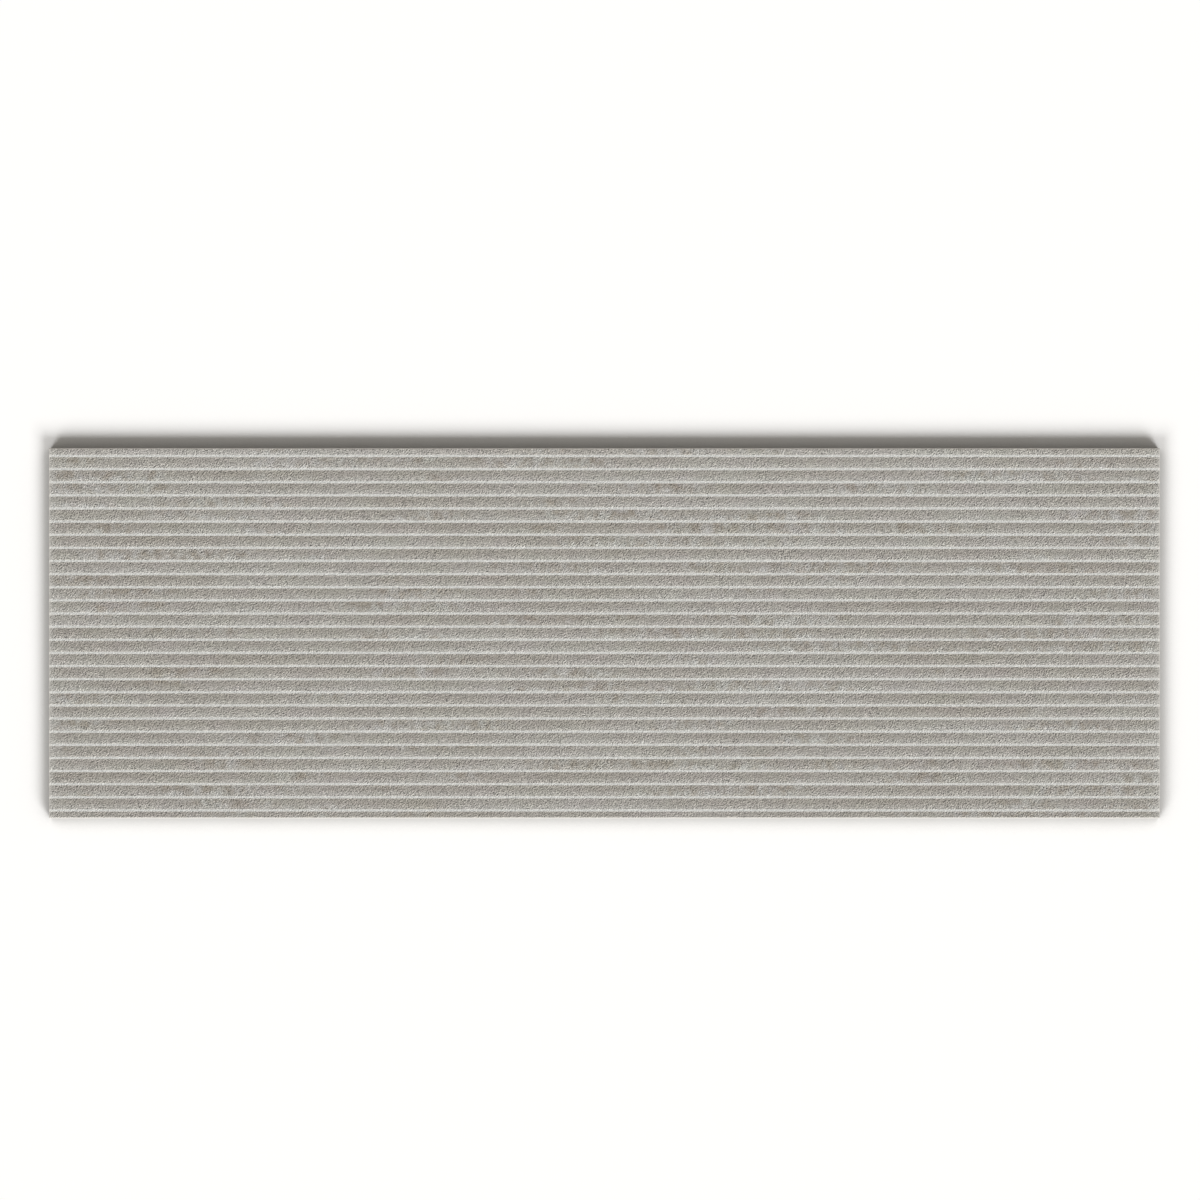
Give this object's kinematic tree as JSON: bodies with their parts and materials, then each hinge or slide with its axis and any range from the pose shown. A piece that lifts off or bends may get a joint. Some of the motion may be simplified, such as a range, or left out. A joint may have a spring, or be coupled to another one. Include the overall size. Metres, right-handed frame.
{
  "type": "ribbed ceramic wall tile",
  "caption": "Oblong matt ceramic wall tile with fine lapped ribs along its length, pale bevelled steps between them, ground edges and a keyed back.",
  "frame": {"origin": "middle of the back, on the plane of its ridges", "axes": "+X along the ribs, +Y across the ribs towards the upper long edge, +Z out of the ribbed face"},
  "size_m": [0.9, 0.3, 0.011],
  "materials": {
    "tile_ceramic": "matt stone-look glaze, paler on the steps"
  },
  "bodies": {
    "root": {"tile": "tile_ceramic"}
  },
  "joints": []
}
